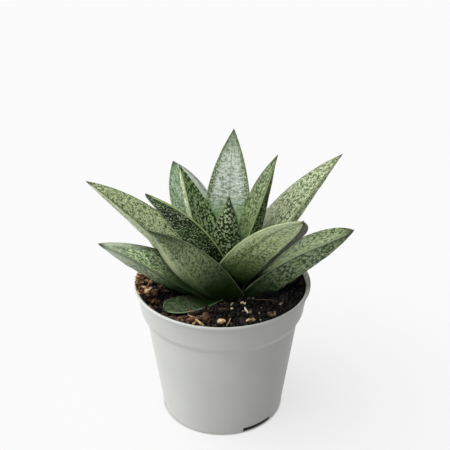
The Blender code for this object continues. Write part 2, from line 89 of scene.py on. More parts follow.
# How fast a blunt leaf closes, and how wide a broad one starts
BLUNT = {"leaf_front_right": 0.7, "leaf_small_offset": 0.6}
BROAD = {"leaf_front_left": 0.91}
BASE_WIDTH, BASE_RUN, MARGIN = 0.78, 0.35, 0.45
BLUNT_END = 0.985       # how far along a blunt leaf its taper ends; a small round point closes it
LINE_STEPS = 800        # steps over which the middle line of a leaf is summed
UPPER_POINTS, ARC_POINTS, LOWER_POINTS = 36, 7, 44      # points of a leaf's section


def smooth(x):
    """0 below 0, 1 above 1 and an even S between."""
    x = np.clip(x, 0.0, 1.0)
    return x * x * (3.0 - 2.0 * x)


def rgb(r, g, b):
    """A display colour of 0 to 255 as linear light."""
    return tuple(float((c / 255.0) ** 2.2) for c in (r, g, b)) + (1.0,)


def ripple(a, b, wave, seed):
    """An even random swell of about -1 to 1: the mean of waves that cross at random angles."""
    rng = np.random.default_rng(seed)
    total = 0.0
    for angle, phase, stretch in zip(rng.uniform(0, math.pi, 9), rng.uniform(0, TAU, 9),
                                     rng.uniform(0.6, 1.7, 9)):
        total = total + np.sin((a * math.cos(angle) + b * math.sin(angle)) * TAU * stretch / wave + phase)
    return total / 4.0


# Shader maths


class Wire:
    """A shader value; sums, products and powers of wires and numbers add their Math nodes."""

    def __init__(self, sheet, socket):
        self.sheet, self.socket = sheet, socket

    def maths(self, operation, *values):
        return self.sheet.node("ShaderNodeMath", {"operation": operation}, dict(enumerate(values)))

    def __add__(self, other):
        return self.maths("ADD", self, other)

    def __radd__(self, other):
        return self.maths("ADD", other, self)

    def __sub__(self, other):
        return self.maths("SUBTRACT", self, other)

    def __rsub__(self, other):
        return self.maths("SUBTRACT", other, self)

    def __mul__(self, other):
        return self.maths("MULTIPLY", self, other)

    def __rmul__(self, other):
        return self.maths("MULTIPLY", other, self)

    def __abs__(self):
        return self.maths("ABSOLUTE", self)

    def step(self, low, high):
        """0 where the value is at low, 1 where it is at high, an even S between."""
        return self.sheet.node("ShaderNodeMapRange", {"interpolation_type": "SMOOTHSTEP"},
                               {"Value": self, "From Min": low, "From Max": high})


class Nodes:
    """A node tree and its nodes."""

    def __init__(self, tree):
        self.tree = tree

    def node(self, kind, settings=None, inputs=None, output=0):
        """Any node: its type, its settings, then the values or links of its sockets."""
        node = self.tree.nodes.new(kind)
        for key, value in (settings or {}).items():
            setattr(node, key, value)
        for key, value in (inputs or {}).items():
            self.plug(node.inputs[key], value)
        return Wire(self, node.outputs[output])

    def plug(self, socket, value):
        if isinstance(value, Wire):
            self.tree.links.new(value.socket, socket)
        else:
            socket.default_value = value

    def mix(self, share, a, b, blend="MIX"):
        """Colour a where share is 0, colour b where it is 1."""
        return self.node("ShaderNodeMix", {"data_type": "RGBA", "blend_type": blend},
                         {0: share, 6: a, 7: b}, 2)

    def triple(self, x, y, z=0.0):
        return self.node("ShaderNodeCombineXYZ", None, {0: x, 1: y, 2: z})

    def split(self, vector):
        node = self.tree.nodes.new("ShaderNodeSeparateXYZ")
        self.plug(node.inputs[0], vector)
        return [Wire(self, out) for out in node.outputs]

    def stored(self, name):
        """The three numbers of an attribute that the mesh carries."""
        return self.split(self.node("ShaderNodeAttribute", {"attribute_name": name}, None, 1))

    def place(self):
        """The point on the piece, in millimetres."""
        spot = self.node("ShaderNodeTexCoord", None, None, 3)
        return self.node("ShaderNodeVectorMath", {"operation": "SCALE"}, {0: spot, "Scale": 1.0 / MM})

    def noise(self, spot, scale, detail=2.0, dimensions="3D", output=0):
        return self.node("ShaderNodeTexNoise", {"noise_dimensions": dimensions},
                         {"Vector": spot, "Scale": scale, "Detail": detail}, output)

    def cells(self, spot, scale, dimensions="2D"):
        """Distance to the nearest scattered point, and a random number that its cell holds."""
        node = self.tree.nodes.new("ShaderNodeTexVoronoi")
        node.voronoi_dimensions = dimensions
        self.plug(node.inputs["Vector"], spot)
        node.inputs["Scale"].default_value = scale
        return Wire(self, node.outputs["Distance"]), self.split(Wire(self, node.outputs["Color"]))[0]


class Sheet(Nodes):
    """The nodes of one material, with the constants of its shader."""

    def __init__(self, name, roughness=0.5, **constants):
        self.material = bpy.data.materials.new(name)
        self.material.use_nodes = True
        super().__init__(self.material.node_tree)
        self.shader = self.tree.nodes["Principled BSDF"]
        self.shader.inputs["Roughness"].default_value = roughness
        for key, value in constants.items():
            self.shader.inputs[key.replace("_", " ")].default_value = value

    def set(self, key, value):
        self.plug(self.shader.inputs[key], value)

    def raise_by(self, height, depth_mm):
        """Relief whose full height is depth_mm."""
        self.set("Normal", self.node("ShaderNodeBump", None,
                                     {"Height": height, "Strength": 1.0, "Distance": depth_mm * MM}))


# Meshes


def stand(name, data):
    """A new object of the mesh, light or camera, in the scene."""
    thing = bpy.data.objects.new(name, data)
    bpy.context.scene.collection.objects.link(thing)
    return thing


def put_mesh(name, points, faces, maps=None):
    """A closed mesh from points in millimetres and lists of equal-sized faces, turned to face out."""
    points = np.asarray(points, float).reshape(-1, 3)
    volume = 0.0
    for group in faces:
        a = points[group[:, 0]]
        for k in range(1, group.shape[1] - 1):
            volume += np.einsum("ij,ij->", a, np.cross(points[group[:, k]], points[group[:, k + 1]]))
    if volume < 0.0:
        faces = [group[:, ::-1] for group in faces]
    sizes = np.concatenate([np.full(len(group), group.shape[1]) for group in faces])
    loops = np.concatenate([group.ravel() for group in faces]).astype(np.int32)
    mesh = bpy.data.meshes.new(name)
    mesh.vertices.add(len(points))
    mesh.vertices.foreach_set("co", (points * MM).ravel())
    mesh.loops.add(len(loops))
    mesh.loops.foreach_set("vertex_index", loops)
    mesh.polygons.add(len(sizes))
    mesh.polygons.foreach_set("loop_start", np.concatenate([[0], np.cumsum(sizes)[:-1]]).astype(np.int32))
    mesh.polygons.foreach_set("use_smooth", np.ones(len(sizes), bool))
    mesh.update(calc_edges=True)
    for key, values in (maps or {}).items():
        layer = mesh.attributes.new(key, "FLOAT_VECTOR", "POINT")
        layer.data.foreach_set("vector", np.asarray(values, float).reshape(-1, 3).ravel())
    mesh.validate()
    return stand(name, mesh)


def tube_faces(rows, columns, poles=False):
    """Faces of rows of points closed round; with poles, a fan to a point closes either end.

    The points come row by row, then the first pole, then the last pole.
    """
    i, j = np.meshgrid(np.arange(rows - 1), np.arange(columns), indexing="ij")
    a, b = i * columns + j, i * columns + (j + 1) % columns
    faces = [np.stack([a, b, b + columns, a + columns], -1).reshape(-1, 4)]
    if poles:
        j = np.arange(columns)
        k, top, pole = (j + 1) % columns, (rows - 1) * columns, rows * columns
        faces.append(np.stack([np.full(columns, pole), k, j], -1))
        faces.append(np.stack([top + j, top + k, np.full(columns, pole + 1)], -1))
    return faces


def finish(piece, sheet, node=None):
    """Gives the piece its material, rides it on the pot's body and stands it for its solid."""
    piece.data.materials.clear()
    piece.data.materials.append(sheet.material)
    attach(piece, "root")
    if node:
        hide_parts(node)
    return piece


def turned(profile, columns, lobes=0.0):
    """Each point (radius, z) of the profile goes round the axis; its ends lie on the axis.

    The radius swells by lobes times cos 2a at the angle a.
    """
    profile = np.asarray(profile, float)
    angle = np.arange(columns) * TAU / columns
    radius = profile[1:-1, :1] * (1.0 + lobes * np.cos(2.0 * angle))[None, :]
    z = np.broadcast_to(profile[1:-1, 1:], radius.shape)
    rows = np.stack([radius * np.cos(angle), radius * np.sin(angle), z], -1)
    points = np.vstack([rows.reshape(-1, 3), [0, 0, profile[0, 1]], [0, 0, profile[-1, 1]]])
    return points, tube_faces(len(radius), columns, True)


def rounded(profile, steps=5):
    """A profile of (radius, z, fillet) with each corner cut by a curve that leaves it a fillet away.

    The curve is the parabola (1-k)^2 p + 2k(1-k) corner + k^2 q between the two leaving points.
    """
    profile = np.asarray(profile, float)
    spot, reach = profile[:, :2], profile[:, 2]
    points = [spot[0]]
    k = np.linspace(0.0, 1.0, steps)[:, None]
    for before, corner, after, fillet in zip(spot[:-2], spot[1:-1], spot[2:], reach[1:-1]):
        if fillet > 0.0:
            p = corner + (before - corner) * fillet / np.linalg.norm(before - corner)
            q = corner + (after - corner) * fillet / np.linalg.norm(after - corner)
            points.extend((1 - k) ** 2 * p + 2 * k * (1 - k) * corner + k ** 2 * q)
        else:
            points.append(corner)
    return np.array(points + [spot[-1]])


# Leaves


def leaf_line(leaf, u):
    """The middle line of a leaf and the two directions across it, at each u along it.

    The line is the sum of the run (cos slope cos bearing, cos slope sin bearing, sin slope)
    over u. side lies level and square to the run, face square to both, and the roll turns them.
    """
    def run_at(share):
        bearing = np.radians(leaf["bearing"] + leaf["swing"] * share)
        slope = np.radians(leaf["slope"] + (leaf["tip_slope"] - leaf["slope"]) * share)
        return bearing, np.stack([np.cos(slope) * np.cos(bearing), np.cos(slope) * np.sin(bearing),
                                  np.sin(slope)], -1)

    fine = np.linspace(0.0, 1.0, LINE_STEPS + 1)
    run = run_at(fine)[1]
    steps = (run[1:] + run[:-1]) * leaf["length"] / (2 * LINE_STEPS)
    line = np.vstack([np.zeros(3), np.cumsum(steps, 0)])
    seat = math.radians(leaf["seat_angle"])
    line += (CROWN_X + leaf["seat_r"] * math.cos(seat), leaf["seat_r"] * math.sin(seat),
             CROWN_Z + leaf["seat_z"])
    line = np.stack([np.interp(u, fine, line[:, k]) for k in range(3)], -1)
    bearing, run = run_at(u)
    flat = np.stack([np.sin(bearing), -np.cos(bearing), 0.0 * bearing], -1)
    up = np.cross(flat, run)
    roll = np.radians(leaf["roll"] + (leaf["tip_roll"] - leaf["roll"]) * u)[:, None]
    side, face = flat * np.cos(roll) + up * np.sin(roll), up * np.cos(roll) - flat * np.sin(roll)
    return line, side, face


def leaf_size(name, leaf, u):
    """The half width and the thickness of a leaf at each u along it.

    The half width is (1 - u^fullness)^blunt of its full value, and less toward the base. The
    thickness falls as (1 - u^3)^0.8. A blunt leaf keeps a round point of half a millimetre.
    """
    blunt = BLUNT.get(name, 1.0)
    end = BLUNT_END if blunt < 1.0 else 1.0
    taper = np.clip(1.0 - (u / end) ** leaf["fullness"], 0.0, 1.0) ** blunt
    base = BROAD.get(name, BASE_WIDTH)
    half = leaf["width"] / 2 * taper * (base + (1 - base) * smooth(u / BASE_RUN))
    thick = leaf["thick"] * np.clip(1 - u ** 3, 0, 1) ** 0.8 * (0.6 + 0.4 * smooth(u / 0.2))
    if blunt < 1.0:
        to_tip = np.clip((1.0 - u) * leaf["length"] / 4.0, 0.0, 1.0)
        point = 0.5 * np.sqrt(to_tip) * smooth((u - 0.9) / 0.05)
        half, thick = np.maximum(half, point), np.maximum(thick, 1.6 * point)
    return half, thick


def leaf_section():
    """The closed section of a leaf: above from left to right, round the margin, and back below.

    X is -1 at the left margin and 1 at the right one. lower is 0 above and 1 below. across_arc
    and over_arc are the cosine and sine of each margin's half circle.
    """
    def spaced(count, even):
        """From -1 to 1, closer together at the margins, less so where even is larger."""
        return (np.sin(np.linspace(-0.5, 0.5, count) * math.pi) * (1 - even)
                + np.linspace(-1, 1, count) * even)

    above, below, round_margin = np.zeros(UPPER_POINTS), np.zeros(LOWER_POINTS), np.zeros(ARC_POINTS)
    arc = np.linspace(0.5 * math.pi, -0.5 * math.pi, ARC_POINTS + 2)[1:-1]
    fall = np.linspace(0, 1, ARC_POINTS + 2)[1:-1]
    X = np.concatenate([spaced(UPPER_POINTS, 0.4), round_margin + 1, spaced(LOWER_POINTS, 0.6)[::-1],
                        round_margin - 1])
    lower = np.concatenate([above, fall, below + 1, np.linspace(1, 0, ARC_POINTS + 2)[1:-1]])
    across_arc = np.concatenate([above, np.cos(arc), below, -np.cos(arc[::-1])])
    over_arc = np.concatenate([above + 1, np.sin(arc), below - 1, np.sin(arc[::-1])])
    is_upper = np.concatenate([above + 1, round_margin, below, round_margin])
    is_under = np.concatenate([above, round_margin, below + 1, round_margin])
    return X, lower, across_arc, over_arc, is_upper, is_under


def leaf_surface(name, pitch=0.8):
    """A keeled blade on a grid of u along it and the closed section round it.

    The section is a shallow channel above, -channel (1 - X^2); a half-round margin at each side;
    and below, the depth that falls from the keel to the margins as (1 - q)^0.85, where q grows
    from 0 on the rounded keel to 1 at the margin. Slow ripples and a raised margin lie on it.
    """
    leaf = dict(zip(FIELDS, LEAVES[name]))
    length, keel = leaf["length"], leaf["keel"]
    rows = int(length / pitch)
    u = 1.0 - (1.0 - np.linspace(0.0, 1.0, rows + 1)) ** 1.25
    line, side, face = leaf_line(leaf, u)
    half, thick = leaf_size(name, leaf, u)
    margin = np.minimum(np.minimum(MARGIN, 0.5 * thick + 0.05), 0.85 * half)
    channel = (0.12 * (1 - u) + 0.02) * half
    flat_half = half - margin
    X, lower, across_arc, over_arc, is_upper, is_under = leaf_section()

    q = 1.0 - np.where(X > keel, (1 - X) / (1 - keel), (1 + X) / (1 + keel))
    soft = 0.1
    q = (np.sqrt(q * q + soft * soft) - soft) / (math.sqrt(1 + soft * soft) - soft)
    rise = np.clip(1 - q, 0, 1) ** 0.85
    across = flat_half[:, None] * X + margin[:, None] * across_arc
    over = margin[:, None] * (over_arc - 1.0) - channel[:, None] * (1 - X * X) * is_upper
    over -= np.clip(thick - 2 * margin, 0, None)[:, None] * rise * is_under
    s = np.broadcast_to((u * length)[:, None], across.shape)
    around, edge = across.copy(), flat_half[:, None] * (1 - abs(X))
    low = is_under > 0
    step = np.hypot(np.diff(across[:, low], axis=1), np.diff(over[:, low], axis=1))
    gone = np.hstack([np.zeros((rows + 1, 1)), np.cumsum(step, 1)])
    around[:, low] = gone - gone[:, [int(np.argmin(abs(X[low] - keel)))]]
    edge[:, low] = np.minimum(gone, gone[:, -1:] - gone)
    seed = sum(ord(c) for c in name)
    swell = 0.16 * ripple(s, across, 17.0, seed) + 0.07 * ripple(s, across, 6.0, seed + 1)
    over += swell * smooth(edge / 3.0) * (is_upper - is_under)
    over += 0.14 * np.exp(-(edge / 0.7) ** 2) * (is_upper - is_under) * smooth(half / 3.0)[:, None]

    points = line[:, None] + across[..., None] * side[:, None] + over[..., None] * face[:, None]
    columns = len(X)
    span = np.stack(np.broadcast_arrays(u[:, None], X[None, :], lower[None, :]), -1)
    ruler = np.stack([s, around, edge], -1)
    root = line[0] - face[0] * thick[0] * 0.5
    points = np.vstack([points[:-1].reshape(-1, 3), root, line[-1]])
    span = np.vstack([span[:-1].reshape(-1, 3), (0, 0, 0.5), (1, 0, 0.5)])
    ruler = np.vstack([ruler[:-1].reshape(-1, 3), (0, 0, 3), (length, 0, 0)])
    return put_mesh(name + "_blade", points, tube_faces(rows, columns, True),
                    {"span": span, "ruler": ruler})


# Skins: the green, the pale that covers it, as dots (0) or as a ground that leaves mottles (1),
# the share covered, how much that varies from patch to patch, and the bloom with its colour.
# A leaf has one skin for its upper and one for its lower face, GREEN and OUTER where none is given.
SKIN = ("deep", "pale", "ground", "cover", "patchy", "bloom", "haze")
RICH, MARGIN_GREEN = rgb(52, 92, 24), rgb(160, 182, 112)
DARK_GREEN_AND_BASE_SHADE, LEAF_TIP = rgb(22, 46, 10), rgb(50, 54, 36)
OUTER = (rgb(36, 54, 24), rgb(150, 162, 122), 1, 0.54, 0.10, 0.2, rgb(106, 118, 84))
GREEN = (rgb(36, 62, 20), rgb(156, 174, 122), 1, 0.52, 0.12, 0.1, rgb(124, 142, 98))
SKINS = {
    "leaf_centre_front": ((rgb(10, 22, 6), rgb(190, 208, 164), 0, 0.34, 0.05, 0.0, RICH),) * 2,
    "leaf_centre_back": ((rgb(20, 46, 10), rgb(164, 188, 136), 0, 0.37, 0.10, 0.0, RICH),
                         (rgb(50, 76, 24), rgb(226, 234, 198), 1, 0.60, 0.04, 0.0, MARGIN_GREEN)),
    "leaf_centre_right": ((rgb(6, 36, 0), rgb(208, 232, 164), 1, 0.52, 0.12, 0.0, rgb(128, 148, 92)),
                          (rgb(16, 40, 4), rgb(172, 194, 142), 0, 0.38, 0.10, 0.0, RICH)),
    "leaf_centre_left": (OUTER, (rgb(2, 8, 1), rgb(186, 206, 164), 0, 0.24, 0.12, 0.0, RICH)),
    "leaf_back": ((rgb(78, 104, 54), rgb(208, 219, 206), 1, 0.66, 0.06, 0.1, rgb(176, 190, 172)), OUTER),
    "leaf_back_left": ((rgb(66, 98, 52), rgb(188, 204, 180), 1, 0.60, 0.06, 0.15, rgb(152, 170, 140)),
                       OUTER),
    "leaf_front_right": (GREEN, (rgb(12, 32, 4), rgb(184, 198, 146), 1, 0.57, 0.10, 0.04,
                                 rgb(118, 132, 92))),
    "leaf_right_long": ((rgb(52, 76, 28), rgb(200, 208, 170), 1, 0.56, 0.07, 0.06, rgb(146, 158, 120)),
                        (rgb(24, 42, 10), rgb(196, 206, 156), 1, 0.50, 0.10, 0.0, rgb(88, 92, 56))),
    "leaf_left_long": ((rgb(34, 54, 14), rgb(190, 200, 156), 1, 0.60, 0.05, 0.05, rgb(146, 156, 118)),
                       (rgb(90, 102, 70), rgb(190, 196, 172), 1, 0.60, 0.08, 0.3, rgb(164, 172, 146))),
    "leaf_front_left": (GREEN, (rgb(14, 30, 6), rgb(158, 174, 128), 1, 0.58, 0.07, 0.12,
                                rgb(104, 116, 82))),
    "leaf_left_low": ((rgb(10, 32, 4), rgb(188, 206, 160), 1, 0.52, 0.16, 0.08, rgb(136, 148, 124)),
                      (rgb(34, 54, 20), rgb(158, 172, 138), 1, 0.54, 0.08, 0.3, rgb(134, 146, 118))),
    "leaf_right_low": ((rgb(16, 42, 4), rgb(188, 206, 152), 1, 0.54, 0.12, 0.05, rgb(122, 140, 100)),
                       (rgb(18, 40, 8), rgb(158, 174, 134), 1, 0.52, 0.14, 0.1, rgb(84, 100, 68))),
    "leaf_small_offset": ((rgb(14, 30, 10), rgb(112, 130, 94), 1, 0.54, 0.10, 0.15, rgb(66, 82, 54)),
                          OUTER),
}
DOT_PITCH = 1.4
PITCH = {           # mean distance between dots, in mm, where it isn't DOT_PITCH
    "leaf_centre_front": 1.7, "leaf_centre_back": 2.0, "leaf_centre_left": 1.55,
    "leaf_right_low": 1.6, "leaf_front_right": 1.5, "leaf_front_left": 1.5, "leaf_left_low": 1.5,
}
STREAKS = {         # how strongly lengthwise streaks show, and their colour
    "leaf_left_low": (2.2, rgb(58, 84, 42)), "leaf_right_low": (2.0, rgb(70, 108, 38)),
    "leaf_back_left": (3.0, rgb(70, 108, 52)), "leaf_centre_right": (1.6, rgb(42, 84, 10)),
    "leaf_right_long": (0.9, rgb(84, 102, 46)), "leaf_small_offset": (0.5, rgb(96, 106, 84)),
    "leaf_back": (0.5, rgb(96, 120, 84)), "leaf_front_right": (0.9, rgb(118, 138, 82)),
}
ALL_ACROSS = (-1.1, -1.0)
# Washes of another colour: 0 for the upper or 1 for the lower face, where the wash starts and
# is full across the leaf (-1 left margin, 1 right margin), the same along it, colour and share.
# Some of them are painted shade, each marked where it stands.
WASHES = {
    "leaf_centre_left": ((1, (0.62, 1.0), (0.4, 0.7), rgb(150, 166, 128), 0.65),),
    "leaf_centre_right": ((0, (-0.3, -0.95), (0.5, 0.8), rgb(196, 210, 176), 0.4),
                          (0, ALL_ACROSS, (0.55, 0.85), rgb(210, 222, 190), 0.1),
                          (0, ALL_ACROSS, (0.6, 0.3), rgb(66, 122, 26), 0.3),
                          (1, (0.75, 0.60), (0.3, 0.5), rgb(22, 34, 14), 0.35)),
    "leaf_back": ((0, (-0.66, -0.90), (0.2, 0.3), rgb(150, 164, 112), 0.5),
                  (0, (0.66, 0.90), (0.2, 0.3), rgb(150, 164, 112), 0.5),
                  (0, ALL_ACROSS, (0.74, 0.97), rgb(70, 88, 40), 0.8),
                  (0, ALL_ACROSS, (0.60, 0.40), rgb(98, 144, 66), 0.8)),
    "leaf_back_left": ((0, (0.2, 0.8), (0.3, 0.6), rgb(190, 196, 188), 0.5),),
    # the first wash of leaf_front_left is painted shade, darkening the lower face toward its left margin
    # near the tip
    "leaf_front_left": ((1, (-0.2, -0.75), (0.55, 0.85), rgb(46, 66, 26), 0.75),
                        (1, (0.5, 0.85), (0.3, 0.6), rgb(166, 174, 138), 0.7),
                        (1, (0.6, -0.2), (0.66, 0.92), rgb(66, 80, 52), 0.55)),
    "leaf_front_right": ((1, ALL_ACROSS, (0.55, 0.85), rgb(214, 226, 182), 0.2),
                         (1, ALL_ACROSS, (0.66, 0.42), rgb(44, 74, 22), 0.35),
                         (1, (0.3, 0.8), (0.72, 0.9), rgb(176, 186, 156), 0.45),
                         (1, (0.80, 0.97), (0.3, 0.6), rgb(206, 220, 172), 0.5),
                         (1, (0.0, 0.9), (0.46, 0.26), rgb(44, 86, 18), 0.45),
                         # the next two washes are painted shadow: the narrow strip from the keel to the
                         # left margin, near black, grey-brown toward the tip
                         (1, (-0.40, -0.47), (0.3, 0.45), rgb(8, 10, 5), 1.0),
                         (1, (-0.42, -0.50), (0.80, 0.96), rgb(76, 76, 52), 0.7),
                         (1, (0.9, 0.6), (0.965, 0.98), rgb(30, 32, 22), 0.95)),
    "leaf_right_long": ((0, (-0.1, -0.6), (0.62, 0.35), rgb(168, 176, 150), 0.75),
                        (0, (-0.80, -0.97), (0.3, 0.6), rgb(204, 212, 190), 0.5)),
    # the first wash of leaf_left_low is painted shadow from leaf_left_long, on the right of the upper
    # face, fading out toward the tip
    "leaf_left_low": ((0, (0.3, 0.95), (0.95, 0.5), rgb(16, 34, 10), 0.85),
                      (0, (0.3, 0.8), (0.45, 0.9), rgb(188, 196, 184), 0.5),
                      (0, ALL_ACROSS, (0.72, 0.95), rgb(150, 158, 142), 0.6),
                      (1, ALL_ACROSS, (0.6, 0.9), rgb(170, 176, 162), 0.6)),
    "leaf_right_low": ((0, (0.3, -0.8), (0.75, 0.45), rgb(176, 188, 160), 0.3),
                       (0, ALL_ACROSS, (0.86, 1.0), rgb(48, 62, 44), 0.85),
                       (1, ALL_ACROSS, (0.86, 1.0), rgb(48, 62, 44), 0.8)),
    "leaf_left_long": ((0, (-0.5, -0.75), (0.3, 0.5), rgb(26, 48, 8), 0.6),),
}
# Lines along a leaf: 0 for the upper or 1 for the lower face, where they run across it, their
# half width, colour and share.
LINES = {
    "leaf_back": ((0, 0.04, 0.08, rgb(84, 104, 80), 0.5),),
    "leaf_back_left": ((0, 0.3, 0.07, rgb(206, 214, 190), 0.6), (0, -0.15, 0.06, rgb(52, 84, 40), 0.4),
                       (0, 0.92, 0.07, rgb(96, 98, 90), 0.6)),
    "leaf_front_right": ((1, -0.37, 0.06, rgb(158, 172, 130), 0.6), (1, 0.52, 0.10, rgb(70, 94, 38), 0.55),
                         (1, 0.12, 0.08, rgb(84, 106, 54), 0.35)),
    "leaf_right_long": ((0, 0.40, 0.07, rgb(60, 78, 32), 0.7),),
    "leaf_left_long": ((0, -0.97, 0.12, rgb(194, 204, 162), 0.9),),
    "leaf_left_low": ((0, -0.52, 0.06, rgb(120, 156, 80), 0.5), (0, -0.28, 0.05, rgb(18, 38, 10), 0.7),
                      (0, 0.1, 0.04, rgb(18, 38, 10), 0.6), (0, -0.75, 0.04, rgb(28, 50, 18), 0.5)),
    "leaf_right_low": ((0, 0.45, 0.05, rgb(196, 210, 168), 0.5),),
    "leaf_centre_right": ((0, 0.93, 0.06, rgb(190, 206, 140), 0.7),),
}
# Partly each leaf's own lightness and partly painted light and shade: faces are lightened or darkened for
# how the light falls on them
TONE_AND_PAINTED_LIGHT = {           # how light the upper and the lower face are, where that isn't 1
    "leaf_back": (0.68, 1.0), "leaf_back_left": (0.78, 1.0), "leaf_centre_back": (1.0, 0.70),
    "leaf_centre_left": (1.0, 0.74), "leaf_centre_right": (0.34, 0.6), "leaf_right_long": (0.6, 1.4),
    "leaf_front_right": (1.0, 0.93), "leaf_centre_front": (0.92, 0.92),
    "leaf_front_left": (1.0, 1.08), "leaf_left_low": (1.28, 1.0), "leaf_right_low": (0.52, 0.78),
    "leaf_small_offset": (0.66, 0.66),
}
# How clearly the pale line along the margins shows, and its colour, where that isn't RIM
RIM = (0.3, MARGIN_GREEN)
RIMS = {
    "leaf_centre_left": (0.9, rgb(176, 196, 130)), "leaf_centre_back": (0.6, MARGIN_GREEN),
    "leaf_centre_front": (0.25, MARGIN_GREEN), "leaf_front_right": (0.45, rgb(184, 196, 152)),
    "leaf_front_left": (0.5, rgb(150, 166, 122)), "leaf_right_low": (0.5, rgb(168, 184, 146)),
    "leaf_left_low": (0.1, MARGIN_GREEN), "leaf_centre_right": (0.5, rgb(176, 198, 136)),
    "leaf_right_long": (0.4, rgb(190, 202, 156)),
    "leaf_left_long": (0.5, rgb(190, 202, 160)), "leaf_small_offset": (0.9, rgb(164, 188, 144)),
}
# How far along the leaf its darkest base ends and its full colour starts, where that isn't SHADE.
# The darkening is partly the leaf's own deeper green and partly painted shade at the crown.
SHADE = (0.08, 0.46)
DIM = {
    "leaf_front_left": (0.16, 0.68), "leaf_front_right": (0.14, 0.66), "leaf_left_low": (0.26, 0.6),
    "leaf_right_low": (0.1, 0.46), "leaf_centre_left": (0.15, 0.5), "leaf_small_offset": (0.25, 0.7),
}
SILVERED = "leaf_back"          # the leaf with fine whitish marks across it
MATT = ("leaf_front_right", "leaf_right_long", "leaf_centre_right", "leaf_centre_left")


def leaf_cover(sheet, name, along, t, warp, spot, share, ground_share):
    """How far the pale covers the green, from raised dots to a ground that leaves mottles."""
    pitch = PITCH.get(name, DOT_PITCH)
    distance, chance = sheet.cells(spot, 1.0 / pitch)
    dots = (distance - share - (chance - 0.5) * 0.2).step(0.08, -0.06)
    drawn_out = sheet.triple((along + warp[0] * 1.2) * 0.72, t + warp[1] * 1.2)
    mottle = (sheet.noise(drawn_out, 0.95 / pitch, 3.0, "2D") * 0.62
              + sheet.noise(drawn_out, 2.1 / pitch, 2.0, "2D") * 0.38)
    distance, chance = sheet.cells(drawn_out, 1.45 / pitch)
    spots = (distance - 0.42 + chance * 0.4).step(0.1, -0.1) * (0.3 if name == SILVERED else 0.85)
    ground = (mottle - (share - 0.5) * 0.5).step(0.58, 0.42) * (1.0 - spots)
    cover = dots + (ground - dots) * ground_share
    flecks = sheet.noise(sheet.triple(along, t * 1.3), 2.6, 2.0, "2D")
    stray = (1.0 - cover) * flecks.step(0.52, 0.68) * (0.08 + 0.15 * ground_share)
    return cover * (0.72 + flecks.step(0.35, 0.6) * 0.28) + stray


def silvered(sheet, colour, deep, along, t, u, warp, upper):
    """The colour with whitish and green marks drawn out across the leaf's upper face."""
    across = sheet.noise(sheet.triple(along + warp[0] * 2.4, t * 0.3 + warp[1]), 0.85, 3.0, "2D")
    whitish = across.step(0.50, 0.60) * (0.3 + u.step(0.78, 0.55) * 0.5) * upper
    colour = sheet.mix(whitish, colour, rgb(236, 243, 236))
    return sheet.mix(across.step(0.48, 0.36) * 0.6 * upper, colour, deep)


